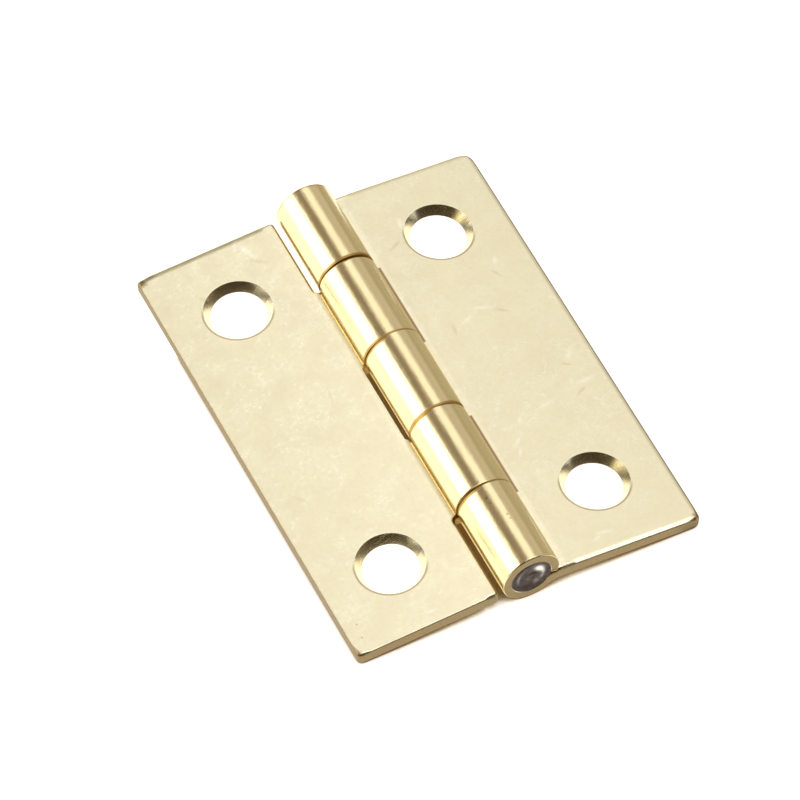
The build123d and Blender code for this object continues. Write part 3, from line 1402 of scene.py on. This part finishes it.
@dataclass(frozen=True)
class HammerMark:
    """A spot on a struck pin end: where it is, how far it spreads, what the blow did there, and its
    painted highlight, a painted shade where it is below 0.
    """

    turn: float
    reach: float
    turn_spread: float
    reach_spread: float
    rise: float
    painted_shine: float

    def share(self, turns: np.ndarray, reach: float) -> np.ndarray:
        """Give how strongly the mark shows on a ring.

        Args:
            turns: Degrees round the pin from +X towards +Z.
            reach: The ring's radius in millimetres.

        Returns:
            The share at each turn, 1 in the mark's middle.
        """
        aside = (turns - self.turn + HALF_TURN) % FULL_TURN - HALF_TURN
        across = (reach - self.reach) / self.reach_spread
        return np.exp(-((aside / self.turn_spread) ** 2) - across**2)


@dataclass
class StakedPin:
    """The pin, filling the flared mouths, with ends that the staking punch left lumpy.

    Lengths are in millimetres and turns in degrees.
    """

    frame: HingeFrame
    body: str
    slot: str
    finish: StakedSteel = StakedSteel()
    shaft_radius: float = 1.2
    mouth_radius: float = 1.64
    mouth_depth: float = 0.4
    rim_recess: float = 0.025
    rim_round: float = 0.02
    rim_turns: tuple[float, ...] = (30, 60, 90)
    crown_recess: float = 0.075
    crown_power: int = 3
    least_recess: float = 0.012
    segments: int = 120
    rings: int = 34
    base_painted_shine: float = 0.01
    # Width of the outer band kept dark, a painted shade for the groove at the mouth
    rim_shade_width: float = 0.2
    marks: tuple[HammerMark, ...] = (
        HammerMark(45, 0.95, 22, 0.22, 0.02, 1.6),
        HammerMark(10, 0.98, 16, 0.14, 0.025, 0.50),
        HammerMark(338, 0.95, 12, 0.12, 0.02, 0.28),
        HammerMark(165, 1.08, 32, 0.10, 0.03, 0.22),
        HammerMark(300, 0.80, 18, 0.25, 0.015, 0.16),
        HammerMark(240, 0.95, 32, 0.30, -0.03, -0.04),
        HammerMark(75, 0.42, 40, 0.16, -0.05, -0.04),
        HammerMark(125, 1.45, 45, 0.06, -0.05, -0.04),
        HammerMark(200, 0.35, 60, 0.15, 0.012, 0.05),
    )

    def build(self) -> bpy.types.Object:
        """Turn the shaft, strike both ends and let the pin stand for its node.

        Returns:
            The pin.
        """
        shell = bmesh.new()
        # A layer for the painted highlights and shade on the struck ends
        painted_shine = shell.verts.layers.float.new(PAINTED_SHINE_LAYER)
        necks = {end: self._end(shell, painted_shine, end) for end in PinEnd}
        for near, far in zip(self._pairs(necks[PinEnd.NEAR]), self._pairs(necks[PinEnd.FAR])):
            shell.faces.new((*near, far[1], far[0]))
        bmesh.ops.recalc_face_normals(shell, faces=shell.faces)
        for side in shell.faces:
            side.smooth = True
        mesh = bpy.data.meshes.new("staked_pin")
        shell.to_mesh(mesh)
        shell.free()
        mesh.materials.append(self.finish.material("staked_pin_steel"))
        piece = bpy.data.objects.new("staked_pin", mesh)
        bpy.context.scene.collection.objects.link(piece)
        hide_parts("hinge_pin")
        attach(piece, self.body)
        return piece

    def _pairs(self, ring: list[bmesh.types.BMVert]) -> list[tuple]:
        """Pair each corner of a ring with the next one."""
        return [(corner, ring[(index + 1) % len(ring)]) for index, corner in enumerate(ring)]

    def _profile(self) -> list[Span]:
        """List the end's radii and recesses, from the middle out and back along the shaft.

        Returns:
            Each ring's radius and its depth under the end of the hinge, in millimetres.
        """
        flat = self.mouth_radius - self.rim_round
        profile = []
        for index in range(1, self.rings + 1):
            radius = flat * index / self.rings
            fall = (self.rim_recess - self.crown_recess) * (radius / flat) ** self.crown_power
            profile.append((radius, self.crown_recess + fall))
        for turn in self.rim_turns:
            lean = math.radians(turn)
            radius = flat + self.rim_round * math.sin(lean)
            profile.append((radius, self.rim_recess + self.rim_round * (1 - math.cos(lean))))
        profile.append((self.shaft_radius, self.mouth_depth + self.rim_recess))
        return profile

    def _end(
        self, shell: bmesh.types.BMesh, painted_shine: bmesh.types.BMLayerItem, end: PinEnd
    ) -> list[bmesh.types.BMVert]:
        """Build one struck end.

        Args:
            shell: What the end is added to.
            painted_shine: The layer of painted highlights and shade.
            end: Which end it is.

        Returns:
            The corners of the ring where the shaft starts.
        """
        crown = end.value * (self.frame.half_length / MM - self.crown_recess) * MM
        middle = shell.verts.new((0, crown, self.frame.pin_height))
        middle[painted_shine] = self.base_painted_shine
        previous = None
        for radius, recess in self._profile():
            ring = self._ring(shell, painted_shine, end, radius, recess)
            if previous is None:
                for first, second in self._pairs(ring):
                    shell.faces.new((middle, first, second))
            else:
                for inner, outer in zip(self._pairs(previous), self._pairs(ring)):
                    shell.faces.new((inner[0], inner[1], outer[1], outer[0]))
            previous = ring
        return previous

    def _ring(
        self,
        shell: bmesh.types.BMesh,
        painted_shine: bmesh.types.BMLayerItem,
        end: PinEnd,
        radius: float,
        recess: float,
    ) -> list[bmesh.types.BMVert]:
        """Add one ring of corners, raised by the hammer marks and given their painted highlights.

        Args:
            shell: What the ring is added to.
            painted_shine: The layer of painted highlights and shade.
            end: Which end it is on.
            radius: The ring's radius.
            recess: Its depth under the end of the hinge, without marks.

        Returns:
            The corners.
        """
        turns = np.arange(self.segments) * FULL_TURN / self.segments
        half = self.frame.half_length / MM
        shares = [mark.share(turns, radius) for mark in self.marks]
        rises = sum(mark.rise * share for mark, share in zip(self.marks, shares))
        shines = sum(mark.painted_shine * share for mark, share in zip(self.marks, shares))
        struck = 1.0 if radius < self.mouth_radius - self.rim_round else 0.0
        # The outer band loses its painted highlights: a painted shade for the groove at the mouth
        in_rim_shade = float(smooth(np.array(radius), self.mouth_radius - self.rim_shade_width, self.mouth_radius))
        ring = []
        for turn, rise, shine in zip(np.radians(turns), rises * struck, shines):
            along = end.value * (half - max(recess - rise, self.least_recess)) * MM
            up = self.frame.pin_height + radius * math.sin(turn) * MM
            corner = shell.verts.new((radius * math.cos(turn) * MM, along, up))
            corner[painted_shine] = max(self.base_painted_shine + shine, 0.0) * (1.0 - in_rim_shade)
            ring.append(corner)
        return ring


@dataclass
class StudioCamera:
    """The camera that looks down on the hinge from its left front.

    Angles are in degrees, lengths in metres, the sensor in millimetres and pin_at in pixels.
    """

    turn: float = 26.88
    drop: float = 54.01
    roll: float = 0.60
    distance: float = 0.5
    clip_start: float = 0.05
    clip_end: float = 20.0
    pixels_per_mm: float = 13.483
    picture_width: float = 800
    sensor_width: float = 36.0
    pin_at: tuple[float, float] = (415.08, 387.51)

    def build(self, frame: HingeFrame) -> bpy.types.Object:
        """Place the camera so that the pin's middle lands where the picture has it.

        Args:
            frame: Where the pin is.

        Returns:
            The camera.
        """
        turn, drop, roll = (math.radians(angle) for angle in (self.turn, self.drop, self.roll))
        ahead = math.cos(drop)
        forward = Vector((math.sin(turn) * ahead, math.cos(turn) * ahead, -math.sin(drop)))
        level = Vector((math.cos(turn), -math.sin(turn), 0))
        upright = level.cross(forward)
        right = level * math.cos(roll) + upright * math.sin(roll)
        up = upright * math.cos(roll) - level * math.sin(roll)
        middle = self.picture_width / 2
        aside = (self.pin_at[0] - middle) / self.pixels_per_mm * MM
        above = (middle - self.pin_at[1]) / self.pixels_per_mm * MM
        target = Vector((0, 0, frame.pin_height))

        data = bpy.data.cameras.new("portrait_camera")
        data.sensor_width = self.sensor_width
        data.lens = self.sensor_width * self.pixels_per_mm / MM * self.distance / self.picture_width
        data.clip_start = self.clip_start
        data.clip_end = self.clip_end
        camera = bpy.data.objects.new("portrait_camera", data)
        bpy.context.scene.collection.objects.link(camera)
        basis = Matrix((right, up, -forward)).transposed().to_4x4()
        spot = target - forward * self.distance - right * aside - up * above
        camera.matrix_world = Matrix.Translation(spot) @ basis
        bpy.context.scene.camera = camera
        return camera


@dataclass(frozen=True)
class Softbox:
    """A white rectangular lamp that faces the hinge."""

    name: str
    direction: tuple[float, float, float]
    width: float
    length: float
    glow: float
    distance: float = 0.9

    def build(self) -> bpy.types.Object:
        """Hang the lamp.

        Returns:
            The lamp.
        """
        data = bpy.data.lights.new(self.name, "AREA")
        data.shape = "RECTANGLE"
        data.size = self.width
        data.size_y = self.length
        data.energy = self.glow * math.pi * self.width * self.length
        lamp = bpy.data.objects.new(self.name, data)
        bpy.context.scene.collection.objects.link(lamp)
        towards = Vector(self.direction).normalized()
        across = Vector((0, 1, 0)).cross(towards).normalized()
        along = towards.cross(across)
        basis = Matrix((across, along, towards)).transposed().to_4x4()
        lamp.matrix_world = Matrix.Translation(towards * self.distance) @ basis
        return lamp


@dataclass
class Studio:
    """A plain white floor, five softboxes and a dim room around them.

    Lengths are in metres. Each span gives the two values between which something fades in.
    """

    # Floor: its colour, and the shade close under the hinge
    floor_colour: Colour = (0.72, 0.68, 0.60, 1)
    floor_size: float = 6.0
    floor_gap: float = 0.00002
    shade_colour: Colour = (0.26, 0.18, 0.09, 1)
    shade_reach: float = 0.0018
    shade_samples: int = 16
    shade_span: Span = (0.34, 0.56)
    shade_end: Span = (0.0112, 0.0122)
    hole_edges: Span = (0.0048, 0.0118)
    hole_ends: float = 0.0162
    edge_blur: float = 0.0005

    # Floor as the camera sees it, and as the metal mirrors it on the left, below and in front
    floor_lift: float = 0.85
    left_span: Span = (0.0142, 0.0120)
    front_span: Span = (-0.018, -0.0205)
    gap_share: float = 1.1
    gap_glow: Colour = (1.0, 0.84, 0.52, 1)
    open_glow: Colour = (1, 1, 1, 1)

    # Room
    room_low: Colour = (0.47, 0.42, 0.29, 1)
    room_high: Colour = (0.215, 0.165, 0.11, 1)
    room_front: Colour = (0.045, 0.03, 0.015, 1)
    room_rise: Span = (0.0, 0.85)
    room_turn: Span = (-0.05, -0.35)
    softboxes: tuple[Softbox, ...] = (
        Softbox("left_softbox", (-0.738, 0.524, 0.426), 0.72, 1.0, 1.9),
        Softbox("back_softbox", (0.250, 0.440, 0.862), 0.385, 0.70, 1.0),
        Softbox("right_softbox", (0.643, 0.524, 0.559), 0.46, 1.0, 0.27),
        Softbox("overhead_softbox", (0.20, 0.03, 1.0), 0.85, 0.36, 2.0),
        Softbox("front_softbox", (0.83, -0.45, 0.30), 0.5, 0.5, 0.7),
    )

    def build(self) -> None:
        """Build the floor, the lamps and the room."""
        self._floor()
        for softbox in self.softboxes:
            softbox.build()
        self._room()

    def _floor(self) -> bpy.types.Object:
        """Lay the floor just under the hinge.

        Returns:
            The floor.
        """
        mesh = bpy.data.meshes.new("studio_floor")
        half = self.floor_size / 2
        outline = [(-half, -half, 0), (half, -half, 0), (half, half, 0), (-half, half, 0)]
        mesh.from_pydata(outline, [], [(0, 1, 2, 3)])
        floor = bpy.data.objects.new("studio_floor", mesh)
        floor.location.z = -self.floor_gap
        bpy.context.scene.collection.objects.link(floor)
        mesh.materials.append(self._card("white_card"))
        return floor

    def _card(self, name: str) -> bpy.types.Material:
        """Make the floor's card, which looks white and shows as white in the metal.

        Args:
            name: The material's name.

        Returns:
            The material.
        """
        material = bpy.data.materials.new(name)
        bench = ShaderBench(material)
        split = bench.split(bench.add("ShaderNodeTexCoord").outputs["Object"])
        clear = self._open_share(bench, split)
        card = bench.add("ShaderNodeBsdfDiffuse")
        bench.feed(card.inputs["Color"], bench.tint(clear, self.shade_colour, self.floor_colour))

        rays = bench.add("ShaderNodeLightPath")
        seen = bench.most(rays.outputs["Is Camera Ray"], rays.outputs["Is Transmission Ray"])
        seen = bench.times(seen, clear)
        ahead = bench.ramp(split.outputs["Y"], *self.front_span)
        mirrored = bench.most(bench.ramp(split.outputs["X"], *self.left_span), ahead)
        mirrored = bench.times(mirrored, bench.blend(clear, self.gap_share, 1.0))
        mirrored = bench.times(mirrored, rays.outputs["Is Glossy Ray"])
        glow = bench.add("ShaderNodeEmission")
        bench.feed(glow.inputs["Color"], bench.tint(clear, self.gap_glow, self.open_glow))
        bench.feed(glow.inputs["Strength"], bench.times(bench.most(seen, mirrored), self.floor_lift))

        both = bench.add("ShaderNodeAddShader")
        bench.feed(both.inputs[0], card.outputs[0])
        bench.feed(both.inputs[1], glow.outputs[0])
        output = bench.add("ShaderNodeOutputMaterial")
        bench.feed(output.inputs["Surface"], both.outputs[0])
        return material

    def _open_share(self, bench: ShaderBench, split: bpy.types.Node) -> Socket:
        """Tell the open floor from the shade close under the hinge.

        Args:
            bench: Where the nodes go.
            split: The floor's coordinates, split up.

        Returns:
            1 in the open, behind the hinge and under the screw holes, 0 in the shade.
        """
        openness = bench.add("ShaderNodeAmbientOcclusion", samples=self.shade_samples)
        openness.inputs["Distance"].default_value = self.shade_reach
        clear = bench.ramp(openness.outputs["AO"], *self.shade_span)
        clear = bench.most(clear, bench.ramp(split.outputs["Y"], *self.shade_end))
        return bench.most(clear, self._under_holes(bench, split))

    def _under_holes(self, bench: ShaderBench, split: bpy.types.Node) -> Socket:
        """Mark the bands of floor that show only through the screw holes, which stay white.

        Args:
            bench: Where the nodes go.
            split: The floor's coordinates, split up.

        Returns:
            1 under the leaves' flat parts, 0 elsewhere.
        """
        aside = bench.size(split.outputs["X"])
        along = bench.size(split.outputs["Y"])
        low, high = self.hole_edges
        return bench.times(
            bench.ramp(aside, low - self.edge_blur, low + self.edge_blur),
            bench.ramp(aside, high + self.edge_blur, high - self.edge_blur),
            bench.ramp(along, self.hole_ends, self.hole_ends - self.edge_blur),
        )

    def _room(self) -> None:
        """Make the room: warm, paler at the horizon behind, and dark in front of the hinge."""
        world = bpy.data.worlds.new("dim_room")
        bpy.context.scene.world = world
        bench = ShaderBench(world)
        split = bench.split(bench.add("ShaderNodeTexCoord").outputs["Generated"])
        height = bench.ramp(split.outputs["Z"], *self.room_rise)
        colour = bench.tint(height, self.room_low, self.room_high)
        front = bench.ramp(split.outputs["Y"], *self.room_turn)
        colour = bench.tint(front, colour, self.room_front)
        glow = bench.add("ShaderNodeBackground")
        bench.feed(glow.inputs["Color"], colour)
        output = bench.add("ShaderNodeOutputWorld")
        bench.feed(output.inputs["Surface"], glow.outputs[0])


def main(frame: dict) -> None:
    """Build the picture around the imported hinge.

    Args:
        frame: What the frame gave: its nodes, bodies, joints and record.
    """
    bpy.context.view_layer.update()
    hinge = HingeFrame.read(frame["record"], frame["nodes"])
    StudioCamera().build(hinge)
    Studio().build()
    # The two-knuckle leaf gets no painted shade on its notches
    paler_plating = BrassPlating(face_roughness=0.31, notch_shade_share=0.0)
    leaves = (
        RolledLeaf(Leaf.THREE_KNUCKLE, hinge, lay=-0.045, body="fixed_side", slot="plated_sheet"),
        RolledLeaf(
            Leaf.TWO_KNUCKLE,
            hinge,
            lay=0.045,
            body="swinging_side",
            slot="plated_sheet_two",
            finish=paler_plating,
        ),
    )
    for part in leaves:
        piece = part.build(frame["nodes"][part.leaf.value])
        LOG.info("dressed %s", piece.name)
    piece = StakedPin(hinge, "fixed_side", "pin_steel").build()
    LOG.info("dressed %s", piece.name)
    bpy.context.scene.view_settings.view_transform = "Standard"


if __name__ == "__main__":
    logging.basicConfig(level=logging.INFO)
    main(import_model())
